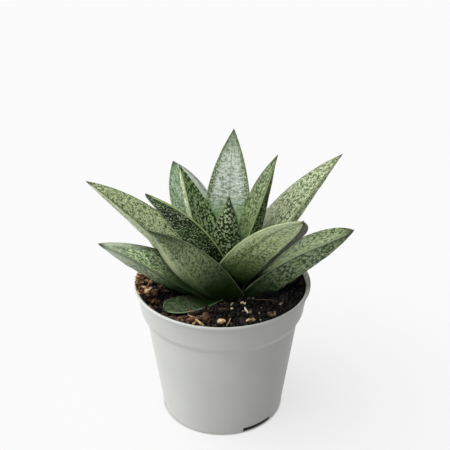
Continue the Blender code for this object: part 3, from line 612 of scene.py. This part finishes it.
def leaf_skin(name, seed):
    """Pale raised dots over green. Where they crowd together, the green is left as mottles."""
    sheet = Sheet(name + "_skin", 0.42, Specular_IOR_Level=0.12 if name in MATT else 0.3)
    top, below = (dict(zip(SKIN, skin)) for skin in SKINS.get(name, (GREEN, OUTER)))
    length = dict(zip(FIELDS, LEAVES[name]))["length"]
    u, x, lower = sheet.stored("span")
    s, t, edge = sheet.stored("ruler")
    upper = 1.0 - lower

    def either(key):
        a, b = top[key], below[key]
        if isinstance(a, tuple):
            return sheet.mix(lower, a, b)
        return a + (b - a) * lower if a != b else a

    along = s + seed * 17.0 + lower * 57.0
    warp = sheet.split(sheet.noise(sheet.triple(along, t), 0.55, 2.0, "2D", 1))
    spot = sheet.triple(along + warp[0] * 1.6, t + warp[1] * 1.6)
    patch = sheet.noise(spot, 0.15, 2.0, "2D")
    broad = sheet.noise(spot, 0.06, 2.0, "2D")
    share = either("cover") + (patch - 0.5) * (3.0 * either("patchy"))
    cover = leaf_cover(sheet, name, along, t, warp, spot, share, either("ground"))
    deep = sheet.mix(broad.step(0.35, 0.7) * 0.35, either("deep"), RICH)
    colour = sheet.mix(cover, deep, either("pale"))
    if name == SILVERED:
        colour = silvered(sheet, colour, either("deep"), along, t, u, warp, upper)
    strength, tint = STREAKS.get(name, (0.4, RICH))
    streak = sheet.noise(sheet.triple(along * 0.03, t * 0.8), 1.0, 2.0, "2D")
    colour = sheet.mix((streak - 0.5) * strength + 0.05, colour, tint)
    haze = either("bloom") * (broad.step(0.3, 0.75) * 0.7 + u.step(0.5, 1.0) * 0.6)
    colour = sheet.mix(haze, colour, either("haze"))
    for face, across, reach, wash, share in WASHES.get(name, ()):
        place = x.step(*across) * u.step(*reach) * (lower if face else upper)
        colour = sheet.mix(place * share * (1.2 - cover * 0.4), colour, wash)
    if name == SILVERED:
        marks = sheet.noise(spot, 0.8, 2.0, "2D").step(0.45, 0.53) * abs(x).step(0.62, 0.86)
        colour = sheet.mix(marks * u.step(0.2, 0.35) * upper * 0.85, colour, rgb(58, 82, 30))
    for face, middle, reach, line, share in LINES.get(name, ()):
        place = abs(x - middle + (patch - 0.5) * 0.15).step(reach, reach * 0.3) * u.step(0.15, 0.4)
        colour = sheet.mix(place * share * (lower if face else upper), colour, line)
    # painted shade: darker green toward the base, partly the leaf's own colour and partly shade where the
    # leaves crowd at the crown
    dim, clear = DIM.get(name, SHADE)
    colour = sheet.mix(u.step(clear, dim) * 0.95, colour, DARK_GREEN_AND_BASE_SHADE)
    # painted light and shade: each face's colour is scaled by its factor
    tone_above, tone_below = TONE_AND_PAINTED_LIGHT.get(name, (1.0, 1.0))
    tone = tone_above + lower * (tone_below - tone_above)
    colour = sheet.mix(1.0, colour, sheet.triple(tone, tone, tone), "MULTIPLY")
    # a dark green line just inside the margins
    colour = sheet.mix(edge.step(0.9, 0.4) * 0.3, colour, DARK_GREEN_AND_BASE_SHADE)
    shown, rim = RIMS.get(name, RIM)
    colour = sheet.mix(abs(lower - 0.5).step(0.48, 0.36) * shown, colour, rim)
    to_tip = length - s
    tip = to_tip.step(3.0, 0.6) * 0.8 if name in BLUNT else to_tip.step(5.5, 1.2) * 0.85
    sheet.set("Base Color", sheet.mix(tip, colour, LEAF_TIP))
    sheet.set("Roughness", 0.36 + cover * 0.14 + broad * 0.12)
    grain = sheet.noise(sheet.triple(s, t), 3.2, 2.0, "2D")
    sheet.raise_by(cover * 0.7 + grain * 0.3 + streak * 0.2, 0.16)
    return sheet


for index, name in enumerate(LEAVES):
    finish(leaf_surface(name), leaf_skin(name, index + 1), name)


# Stem

# Heights between which the stem's dots come in, upward, and its green pales, downward
STEM_DOTS, STEM_PALE = (82.0, 87.0), (84.0, 76.0)
stem_line = rounded([(0.0, STEM_TOP_Z, 0), (0.8, STEM_TOP_Z - 1.6, 1.0), (2.4, STEM_TOP_Z - 5.5, 2.0),
                     (STEM_NECK_RADIUS, STEM_NECK_Z, 3.0), (STEM_RADIUS, CROWN_Z - 4.0, 2.0),
                     (STEM_RADIUS, STEM_FOOT_Z + 1.5, 1.0), (STEM_RADIUS - 1.2, STEM_FOOT_Z, 0.5),
                     (0.0, STEM_FOOT_Z, 0)])
points, faces = turned(stem_line, 72, 0.06)
points[:, 0] += CROWN_X
stem = Sheet("stem_skin", 0.45)
spot = stem.place()
distance, chance = stem.cells(spot, 0.75, "3D")
height = stem.split(spot)[2]
dots = (distance - chance * 0.2 - 0.18).step(0.1, -0.08) * height.step(*STEM_DOTS)
colour = stem.mix(height.step(*STEM_PALE), rgb(60, 88, 34), rgb(150, 160, 96))
stem.set("Base Color", stem.mix(dots, colour, rgb(186, 202, 170)))
stem.raise_by(dots + stem.noise(spot, 1.5) * 0.5, 0.15)
finish(put_mesh("stem_body", points, faces), stem, "stem")


# Bark mix


def bed_height(x, y):
    """The mix: a dip round the crown, a little fuller at the left, hollowed under the small leaf.

    Lumps of 8 and 4 mm swell it, less so toward the rim.
    """
    from_crown, from_axis = np.hypot(x - CROWN_X, y), np.hypot(x, y)
    dip = smooth((from_crown - CROWN_DIP_INNER) / (CROWN_DIP_OUTER - CROWN_DIP_INNER))
    along = np.clip((x * OFFSET_END[0] + y * OFFSET_END[1]) / (OFFSET_END @ OFFSET_END), 0, 1)
    aside = np.hypot(x - along * OFFSET_END[0], y - along * OFFSET_END[1])
    hollow = OFFSET_HOLLOW * smooth(2.1 - 1.4 * aside / OFFSET_REACH) * dip
    lumps = 0.7 * ripple(x, y, 12.0, 3) + 0.35 * ripple(x, y, 5.0, 4)
    lumps = lumps * smooth(from_crown / CROWN_DIP_INNER - 1) * (1 - 0.5 * smooth((from_axis - 38) / 10))
    return SOIL_CROWN_Z + (SOIL_RIM_Z - SOIL_CROWN_Z) * dip - SOIL_LEAN * x / LIP_RADIUS - hollow + lumps


def brown_and_lit(x, y):
    """1 at the left, where the mix shows brown in the light, and 0 where painted shade
    leaves it black.

    It is half lit along the lip in front, left of the middle.
    """
    left = smooth((-x - 28.0 + 0.3 * y + 4.0 * ripple(x, y, 14.0, 8)) / 13.0)
    return np.maximum(left, 0.4 * smooth((-y - 37.0) / 5.0) * smooth((2.0 - x) / 10.0))


def bed_surface():
    """The top is bed_height over rings; the sides and bottom follow the pot's inside."""
    rings, columns = 84, 400
    angle = np.arange(columns) * TAU / columns
    radius = np.linspace(0.6, BED_RADIUS, rings)[:, None] + 0 * angle
    x, y = radius * np.cos(angle), radius * np.sin(angle)
    fine = 0.30 * ripple(x, y, 2.6, 5) + 0.18 * ripple(x, y, 1.4, 6)
    top = np.stack([x, y, bed_height(x, y) - 0.7 + fine], -1)
    sides = np.stack([np.stack([r * np.cos(angle), r * np.sin(angle), z + 0 * angle], -1)
                      for r, z in BED_SIDE])
    rows = np.concatenate([top, sides])
    points = np.vstack([rows.reshape(-1, 3), [0, 0, top[0, :, 2].mean()], [0, 0, BED_SIDE[-1][1]]])
    tone = np.zeros_like(points)
    tone[:, 2] = brown_and_lit(points[:, 0], points[:, 1])
    return put_mesh("bark_mix_bed", points, tube_faces(len(rows), columns, True), {"tone": tone})


def turns(count, rng, lean=1.0):
    """Random turning matrices from quaternions; lean below 1 keeps the third axis nearer up."""
    q = rng.normal(size=(count, 4)) * (1.0, lean, lean, 1.0)
    w, x, y, z = (q / np.linalg.norm(q, axis=1, keepdims=True)).T
    return np.stack([1 - 2 * (y * y + z * z), 2 * (x * y - z * w), 2 * (x * z + y * w),
                     2 * (x * y + z * w), 1 - 2 * (x * x + z * z), 2 * (y * z - x * w),
                     2 * (x * z - y * w), 2 * (y * z + x * w), 1 - 2 * (x * x + y * y)],
                    -1).reshape(-1, 3, 3)


def lying(turn, pitch):
    """Turning matrices of bits whose length is pitched up, then turned about the upright."""
    c, s, p, q = np.cos(turn), np.sin(turn), np.cos(pitch), np.sin(pitch)
    return np.stack([c * p, -s, -c * q, s * p, c, -s * q, q, 0 * c, p], -1).reshape(-1, 3, 3)


def lump():
    """Points and triangles of a round lump, an icosahedron 1 across."""
    bpy.ops.mesh.primitive_ico_sphere_add(subdivisions=1, radius=0.5)
    made = bpy.context.object
    points = np.array([v.co for v in made.data.vertices])
    faces = np.array([p.vertices for p in made.data.polygons])
    bpy.data.objects.remove(made, do_unlink=True)
    return points, faces


def shard():
    """Points and faces of a shard: four box sections along it, narrow at its two ends."""
    rows = ((-0.5, 0.45, 0.35), (-0.2, 1.0, 0.9), (0.22, 0.85, 1.0), (0.5, 0.4, 0.5))
    corners = ((0.5, 0.5), (-0.5, 0.5), (-0.5, -0.5), (0.5, -0.5))
    points = np.array([(x, w * a, h * b) for x, w, h in rows for a, b in corners])
    faces = tube_faces(4, 4)[0]
    return points, np.vstack([faces, [(3, 2, 1, 0), (12, 13, 14, 15)]])


def scatter(name, shape, places, sizes, spin, rng, rough, pick=None, walled=True):
    """One flat-faced piece of many bits, each scaled by its sizes, turned, and set at its place.

    Each point p of a bit goes to its place + turn (size * p * (1 + rough * random)). Where walled,
    what is below the lip keeps inside the pot's wall. tone holds a random number (or pick),
    another random number, and how far the mix there is lit rather than in painted shade.
    """
    base, faces = shape
    places = np.asarray(places)
    count = len(places)
    bits = base[None] * (1 + rough * rng.normal(size=(count, len(base), 3)))
    bits = bits * np.asarray(sizes)[:, None, :]
    points = np.einsum("nij,nkj->nki", spin, bits) + places[:, None, :]
    if walled:
        reach = np.hypot(points[..., 0], points[..., 1])
        inside = np.minimum(1.0, (BED_RADIUS - 0.2) / reach)
        points[..., :2] *= np.where(points[..., 2] < POT_HEIGHT, inside, 1.0)[..., None]
    index = (np.arange(count)[:, None, None] * len(base) + faces[None]).reshape(-1, faces.shape[1])
    tone = rng.uniform(size=(count, 3))
    if pick is not None:
        tone[:, 0] = pick
    tone[:, 2] = brown_and_lit(places[:, 0], places[:, 1])
    piece = put_mesh(name, points, [index], {"tone": np.repeat(tone, len(base), 0)})
    piece.data.shade_flat()
    return piece


def on_bed(count, rng, inner=9.0, clear=1.0):
    """Even random places on the mix from inner outward, clear of its rim: x, y and the height there."""
    radius = np.sqrt(rng.uniform(inner ** 2, (BED_RADIUS - clear) ** 2, count))
    angle = rng.uniform(0, TAU, count)
    x, y = radius * np.cos(angle), radius * np.sin(angle)
    return np.stack([x, y, bed_height(x, y)], -1)


def strands(name, paths, radius, rng, front):
    """Fine tubes: each path's points carry a six-sided ring of the radius, thinner at the ends.

    The last ones, as many as front says, are pale and clear of the painted shade.
    """
    paths = np.asarray(paths, float)
    count, steps = paths.shape[:2]
    run = np.gradient(paths, axis=1)
    run /= np.linalg.norm(run, axis=2, keepdims=True)
    side = np.cross(run, (0.0, 0.13, 1.0))
    side /= np.linalg.norm(side, axis=2, keepdims=True)
    up = np.cross(side, run)
    angle = np.arange(6) * TAU / 6
    k = np.linspace(-1, 1, steps)
    girth = np.asarray(radius)[:, None] * (1.0 - 0.75 * k ** 4)[None, :]
    ring = (side[:, :, None] * np.cos(angle)[:, None] + up[:, :, None] * np.sin(angle)[:, None])
    rows = paths[:, :, None] + ring * girth[:, :, None, None]
    faces = tube_faces(steps, 6, True)
    points = np.concatenate([rows.reshape(count, -1, 3), paths[:, :1], paths[:, -1:]], 1)
    shift = np.arange(count)[:, None, None] * points.shape[1]
    faces = [(group[None] + shift).reshape(-1, group.shape[1]) for group in faces]
    tone = rng.uniform(size=(count, 3))
    tone[:, 2] = brown_and_lit(paths[:, steps // 2, 0], paths[:, steps // 2, 1])
    tone[count - front:] = 1.0
    return put_mesh(name, points, faces, {"tone": np.repeat(tone, points.shape[1], 0)})


def crumb_sheet(name, dark, mid, light, roughness, grain=1.4, relief=0.25, unlit_black=0.75, pale_kept=0.0):
    """Colour runs from dark to mid to light with each bit's tone, and is blackened as painted shade
    where the mix is out of the light, and at random where it is lit.

    The palest bits keep out of that blackening by the share that the last argument gives, and a
    further painted shade darkens the bits toward the right.
    """
    sheet = Sheet(name, roughness, Specular_IOR_Level=0.32)
    tone, shade, in_light = sheet.stored("tone")
    spot = sheet.place()
    noise = sheet.noise(spot, grain, 3.0)
    # bits are a little paler where the mix is lit: painted light
    pick = tone * 0.75 + (noise - 0.5) * 1.1 + 0.10 + in_light * 0.12
    colour = sheet.mix(pick.step(0.2, 0.6), dark, mid)
    colour = sheet.mix(pick.step(0.6, 0.95), colour, light)
    # painted shade: the bits go black away from the lit left; where it is lit, some go darker at random
    shade_and_dark_bits = (1.0 - in_light) * unlit_black + shade * in_light * 0.4
    if pale_kept:
        shade_and_dark_bits = shade_and_dark_bits * (1.0 - tone.step(0.82, 0.95) * pale_kept)
    colour = sheet.mix(shade_and_dark_bits, colour, rgb(16, 15, 13))
    # painted shade: the bits darken further toward the right, away from the light
    right = sheet.split(spot)[0].step(6.0, 30.0) * (1.0 - tone * 0.3)
    sheet.set("Base Color", sheet.mix(right * 0.92, colour, rgb(5, 5, 5)))
    sheet.raise_by(noise + sheet.noise(spot, grain * 3.0, 2.0) * 0.5, relief)
    return sheet


soil = Sheet("mix_dark", 0.95, Specular_IOR_Level=0.15)
spot = soil.place()
in_light = soil.stored("tone")[2]
grain = soil.noise(spot, 0.9, 4.0)
# brown grains show where the mix is lit; elsewhere painted shade keeps it near black
colour = soil.mix(grain.step(0.45, 0.7) * (0.1 + in_light * 0.9), rgb(9, 8, 7), rgb(54, 36, 24))
soil.set("Base Color", colour)
soil.raise_by(grain + soil.noise(spot, 3.0, 3.0) * 0.4, 0.6)
finish(bed_surface(), soil, "soil")

rng = np.random.default_rng(12)
count = 4800
places = on_bed(count, rng)
size = rng.uniform(0.6, 2.3, (count, 1)) * rng.uniform(0.4, 1.0, (count, 3))
places[:, 2] += rng.uniform(-0.7, 0.25, count)
finish(scatter("dark_crumbs", lump(), places, size, turns(count, rng), rng, 0.16),
       crumb_sheet("crumb_peat", rgb(7, 6, 5), rgb(30, 22, 17), rgb(96, 66, 44), 0.62, unlit_black=0.94),
       None)


def shard_field(count, rng, inner, length, width, thick, lean, keep=lambda x, y: 1.0):
    """Places, sizes and turns of shards on the mix, kept with the chance that keep gives."""
    places = on_bed(count, rng, inner)
    places = places[rng.uniform(size=count) < keep(places[:, 0], places[:, 1])]
    count = len(places)
    size = np.stack([rng.uniform(*length, count), rng.uniform(*width, count),
                     rng.uniform(*thick, count)], -1)
    turn = rng.uniform(0, TAU, count)
    return places, size, lying(turn, rng.normal(0, lean, count))


places, size, spin = shard_field(1400, rng, 12.0, (1.6, 6.5), (0.5, 2.2), (0.3, 1.0), 0.6,
                                 lambda x, y: 0.10 + 0.60 * brown_and_lit(x, y) ** 1.5)
finish(scatter("bark_shards", shard(), places + (0, 0, 0.35), size, spin, rng, 0.12),
       crumb_sheet("bark_brown", rgb(30, 18, 12), rgb(126, 86, 54), rgb(232, 192, 138), 0.8, 0.9, 0.3,
                   unlit_black=0.9), None)

# Chips that lie in front of the plant: x, y, length, width, height, turn and how pale they are
FRONT_CHIPS = np.array((
    (-43.0, -13.0, 6.5, 3.0, 1.6, 60.0, 0.8),
    (-39.5, -13.5, 5.5, 2.2, 1.6, 25.0, 0.45),
    (-26.0, -41.0, 5.2, 1.8, 1.4, 70.0, 0.5),
    (-24.0, -42.0, 7.5, 2.6, 1.8, 25.0, 0.45),
    (-15.5, -43.5, 8.0, 2.2, 1.8, 10.0, 0.45),
    (-8.5, -41.5, 4.5, 7.0, 3.4, 15.0, 0.25),
    (-0.5, -45.0, 4.4, 2.4, 1.8, 5.0, 1.0),
    (14.6, -43.2, 3.2, 1.8, 1.6, 35.0, 1.0),
    (17.0, -42.4, 3.0, 1.6, 1.4, -20.0, 0.9),
    (27.0, -37.5, 4.6, 2.4, 1.6, -50.0, 0.85),
    (28.6, -38.3, 2.8, 1.4, 1.2, 10.0, 1.0),
    (30.5, -25.0, 4.0, 2.4, 1.8, 10.0, 0.5),
    (43.0, 0.0, 4.5, 3.0, 2.0, 80.0, 0.6),
))
x, y, length, width, height, turn, pale = FRONT_CHIPS.T
front = np.stack([x, y, bed_height(x, y) + 0.5], -1)
places, size, spin = shard_field(50, rng, 16.0, (2.5, 6.5), (1.2, 2.6), (0.5, 1.2), 0.45)
finish(scatter("bark_chips", shard(), np.vstack([places, front]),
               np.vstack([size, np.stack([length, width, height], -1)]),
               np.concatenate([spin, lying(np.radians(turn), 0 * turn)]), rng, 0.07,
               np.concatenate([rng.uniform(0, 0.8, len(places)), pale])),
       crumb_sheet("chip_tan", rgb(46, 28, 18), rgb(126, 84, 54), rgb(226, 196, 150), 0.8, 0.9, 0.35,
                   unlit_black=0.66, pale_kept=0.85), None)

# Pale grit and slivers in front: x, y, length and width
PALE_BITS = np.array((
    (13.5, -33.5, 4.6, 1.0), (15.8, -35.0, 3.6, 1.3), (11.8, -34.8, 2.4, 0.9), (5.5, -32.0, 1.8, 1.4),
    (11.5, -24.0, 2.4, 1.8), (13.2, -26.0, 1.6, 1.2), (5.8, -21.5, 1.5, 1.1), (33.5, -25.5, 2.2, 1.6),
    (17.2, -41.0, 1.4, 1.0), (5.2, -29.0, 1.0, 0.8), (29.5, -35.5, 1.4, 1.0), (22.0, -30.0, 0.9, 0.8),
))
count = 22
places = on_bed(count, rng, 14.0, 1.5)
size = rng.uniform(0.6, 1.3, (count, 1)) * rng.uniform(0.6, 1.0, (count, 3))
x, y, length, width = PALE_BITS.T
front = np.stack([x, y, bed_height(x, y) + 0.35], -1)
front_size = np.stack([length, width, 0.8 * width], -1)
finish(scatter("pale_grit", shard(), np.vstack([places + (0, 0, 0.2), front]),
               np.vstack([size, front_size]), turns(count + len(front), rng, 0.3), rng, 0.12),
       crumb_sheet("grit_cream", rgb(190, 172, 136), rgb(222, 208, 172), rgb(240, 232, 212), 0.8, 2.0,
                   0.1, unlit_black=0.1), None)

# Bits that have spilt onto the pot's lip, mostly at the left: bearing, spread and number
SPILLS = ((181.0, 8.0, 90), (238.0, 9.0, 12), (256.0, 5.0, 8))
spill = np.concatenate([rng.normal(*heap) for heap in SPILLS])
count = len(spill)
radius = rng.uniform(48.8, 51.2, count)
spill = np.radians(spill)
places = np.stack([radius * np.cos(spill), radius * np.sin(spill), rng.uniform(86.9, 87.5, count)], -1)
size = np.stack([rng.uniform(1.0, 3.4, count), rng.uniform(0.5, 1.5, count),
                 rng.uniform(0.4, 1.1, count)], -1)
finish(scatter("bark_spill", shard(), places, size, turns(count, rng, 0.35), rng, 0.12, walled=False),
       crumb_sheet("bark_spilt", rgb(40, 26, 17), rgb(112, 76, 48), rgb(196, 152, 104), 0.8, 0.9, 0.3),
       None)

# Fibres in front, some of them over the lip: x and y of both ends, bend and half thickness
FRONT_FIBRES = np.array((
    (-19.6, -38.5, -11.4, -50.4, 0.8, 0.30), (-9.6, -50.6, -14.3, -41.5, -0.8, 0.30),
    (2.3, -50.8, 4.9, -41.5, 0.5, 0.34), (17.6, -22.3, 30.2, -23.7, 1.5, 0.15),
    (1.0, -22.1, 4.5, -17.2, 0.8, 0.26),
))
count = 240
k = np.linspace(-1, 1, 9)
places = on_bed(count, rng, 14.0, 5.0)
places = places[rng.uniform(size=count) < 0.1 + 0.9 * brown_and_lit(places[:, 0], places[:, 1])]
count = len(places)
reach = rng.uniform(1.8, 6.0, count)[:, None]
turn, bend = rng.uniform(0, TAU, (count, 1)), rng.normal(0, 0.3, (count, 1))
along, aside = reach * k, reach * bend * (k * k - 0.4)
x = places[:, :1] + along * np.cos(turn) - aside * np.sin(turn)
y = places[:, 1:2] + along * np.sin(turn) + aside * np.cos(turn)
keep = (np.hypot(x, y) < BED_RADIUS - 0.5).all(1)
x, y = x[keep], y[keep]
z = bed_height(x, y)
z = z.max(1, keepdims=True) * 0.5 + z * 0.5 + rng.uniform(0.2, 0.8, (len(x), 1))
x0, y0, x1, y1, bend, girth = FRONT_FIBRES.T[:, :, None]
over, aside = (1 + k) / 2, bend * (1 - k * k)
front_x = x0 + (x1 - x0) * over + aside
front_y = y0 + (y1 - y0) * over + aside * 0.4
up = 0.7 + 1.0 * smooth((np.hypot(front_x, front_y) - 44.0) / 6.0)
front = np.stack([front_x, front_y, bed_height(front_x, front_y) + up], -1)
finish(strands("bark_fibres", np.vstack([np.stack([x, y, z], -1), front]),
               np.concatenate([rng.uniform(0.10, 0.24, len(x)), girth[:, 0]]), rng, len(front)),
       crumb_sheet("fibre_tan", rgb(60, 36, 23), rgb(134, 92, 58), rgb(208, 172, 126), 0.8, 1.2, 0.1, 0.5),
       None)


# Pot


def pot_shell():
    """The pot's wall, collar, lip, channelled base and floor as one turned profile."""
    lip_z, lip_inner, foot_inner = POT_HEIGHT - LIP_HEIGHT, LIP_RADIUS - LIP_WIDTH, BASE_RADIUS - WALL
    channel_top, well = CHANNEL_HEIGHT + FLOOR, CENTRE_RADIUS - FLOOR

    def outer(z):
        return float(np.interp(z, (0.0, STEP_Z, COLLAR_FOOT_Z, lip_z),
                               (BASE_RADIUS, STEP_RADIUS, COLLAR_FOOT_RADIUS, COLLAR_TOP_RADIUS)))

    profile = [(0.0, FLOOR, 0), (well, FLOOR, 0.5), (well, channel_top, 0.6)]
    profile += [(outer(channel_top) - WALL, channel_top, 0.8), (outer(STEP_Z) - WALL, STEP_Z, 1.5),
                (outer(COLLAR_FOOT_Z) - WALL, COLLAR_FOOT_Z, 1.5), (outer(lip_z) - WALL, lip_z, 0.8),
                (lip_inner, POT_HEIGHT, 0.55), (LIP_RADIUS, POT_HEIGHT, 0.7), (LIP_RADIUS, lip_z, 0.5),
                (outer(lip_z), lip_z, 0.5), (COLLAR_FOOT_RADIUS, COLLAR_FOOT_Z, 0.9),
                (STEP_RADIUS, STEP_Z, 1.6), (BASE_RADIUS, 0.0, 0.9), (foot_inner, 0.0, 0.3),
                (foot_inner, CHANNEL_HEIGHT, 0.5), (CENTRE_RADIUS, CHANNEL_HEIGHT, 0.5),
                (CENTRE_RADIUS, 0.0, 0.5), (0.0, 0.0, 0)]
    points, faces = turned(rounded(profile, 6), 256)
    pot = put_mesh("pot_shell", points, faces)
    cutters = []
    for angle in np.radians(NOTCH_ANGLES):
        bpy.ops.mesh.primitive_cube_add(size=MM, location=(BASE_RADIUS * MM * math.cos(angle),
                                                           BASE_RADIUS * MM * math.sin(angle), 0),
                                        rotation=(0, 0, angle),
                                        scale=(NOTCH_DEPTH, NOTCH_WIDTH, 2 * NOTCH_HEIGHT))
        cutters.append(bpy.context.object)
    for k in range(DRAIN_COUNT):
        angle = TAU * (k + 0.5) / DRAIN_COUNT
        bpy.ops.mesh.primitive_cylinder_add(vertices=48, radius=DRAIN_RADIUS * MM, depth=3 * FLOOR * MM,
                                            location=(DRAIN_RING * MM * math.cos(angle),
                                                      DRAIN_RING * MM * math.sin(angle),
                                                      (CHANNEL_HEIGHT + FLOOR / 2) * MM))
        cutters.append(bpy.context.object)
    for cutter in cutters:
        cut = pot.modifiers.new("Cut", "BOOLEAN")
        cut.operation, cut.solver, cut.object = "DIFFERENCE", "EXACT", cutter
    graph = bpy.context.evaluated_depsgraph_get()
    whole = bpy.data.meshes.new_from_object(pot.evaluated_get(graph))
    pot.modifiers.clear()
    pot.data = whole
    for cutter in cutters:
        bpy.data.objects.remove(cutter, do_unlink=True)
    whole.shade_smooth()
    whole.set_sharp_from_angle(angle=math.radians(40))
    return pot


plastic = Sheet("pot_grey", 0.42, Specular_IOR_Level=0.45)
spot = plastic.place()
cloud, speck = plastic.noise(spot, 0.03, 3.0), plastic.noise(spot, 0.6, 4.0)
colour = plastic.mix(cloud.step(0.35, 0.7) * 0.5, rgb(157, 158, 154), rgb(165, 166, 162))
colour = plastic.mix(speck.step(0.66, 0.78) * 0.25, colour, rgb(136, 136, 131))
plastic.set("Base Color", colour)
plastic.set("Roughness", 0.38 + cloud * 0.14)
plastic.raise_by(plastic.noise(spot, 1.6, 2.0) + cloud * 2.0, 0.03)
finish(pot_shell(), plastic, "pot")


# Studio

FLOOR_SIZE, FLOOR_GREY, FLOOR_GLOW = 12.0, 0.12, 0.73
WINDOW_BEARING, WINDOW_RISE, WINDOW_WIDTH, WINDOW_STRENGTH = 190.0, 72.0, 70.0, 3.2
CAMERA_PLACE, CAMERA_TILT, LENS, SENSOR = (0.001611, -0.408508, 0.326606), 63.5, 63.36, 36.0

bpy.ops.mesh.primitive_plane_add(size=FLOOR_SIZE)
floor = bpy.context.object
floor.name = "studio_floor"
paper = Sheet("floor_white", 0.9, Specular_IOR_Level=0.0, Emission_Color=(1.0, 1.0, 1.0, 1.0),
              Emission_Strength=FLOOR_GLOW)
paper.set("Base Color", (FLOOR_GREY, FLOOR_GREY, FLOOR_GREY, 1.0))
reach = paper.node("ShaderNodeVectorMath", {"operation": "LENGTH"}, {0: paper.place()}, 1)
# painted shadow: the paper's glow fades out under the pot and just round its foot
lit = reach.step(BASE_RADIUS - 1.5, BASE_RADIUS + 1.3)
paper.set("Emission Color", paper.triple(lit, lit, lit))
floor.data.materials.append(paper.material)

world = bpy.data.worlds.new("studio_air")
bpy.context.scene.world = world
world.use_nodes = True
air = Nodes(world.node_tree)
background = air.tree.nodes["Background"]
x, y, z = air.split(air.node("ShaderNodeTexCoord", None, None, 0))
toward = x * -0.95 + y * -0.10 + z * 0.28
air.plug(background.inputs["Color"], (1.0, 1.0, 1.0, 1.0))
air.plug(background.inputs["Strength"], toward.step(0.15, 1.0) * 3.3 + 0.12)

sun_data = bpy.data.lights.new("window", "SUN")
sun_data.energy = WINDOW_STRENGTH
sun_data.angle = math.radians(WINDOW_WIDTH)
sun = stand("window", sun_data)
bearing, rise = math.radians(WINDOW_BEARING), math.radians(WINDOW_RISE)
toward_sun = Vector((math.cos(rise) * math.cos(bearing), math.cos(rise) * math.sin(bearing),
                     math.sin(rise)))
sun.rotation_euler = toward_sun.to_track_quat("Z", "Y").to_euler()

camera_data = bpy.data.cameras.new("camera")
camera = stand("camera", camera_data)
camera.location = CAMERA_PLACE
camera.rotation_euler = (math.radians(CAMERA_TILT), 0.0, 0.0)
camera_data.lens = LENS
camera_data.sensor_width = SENSOR
camera_data.clip_start = 0.01
bpy.context.scene.camera = camera
bpy.context.scene.view_settings.view_transform = "Standard"
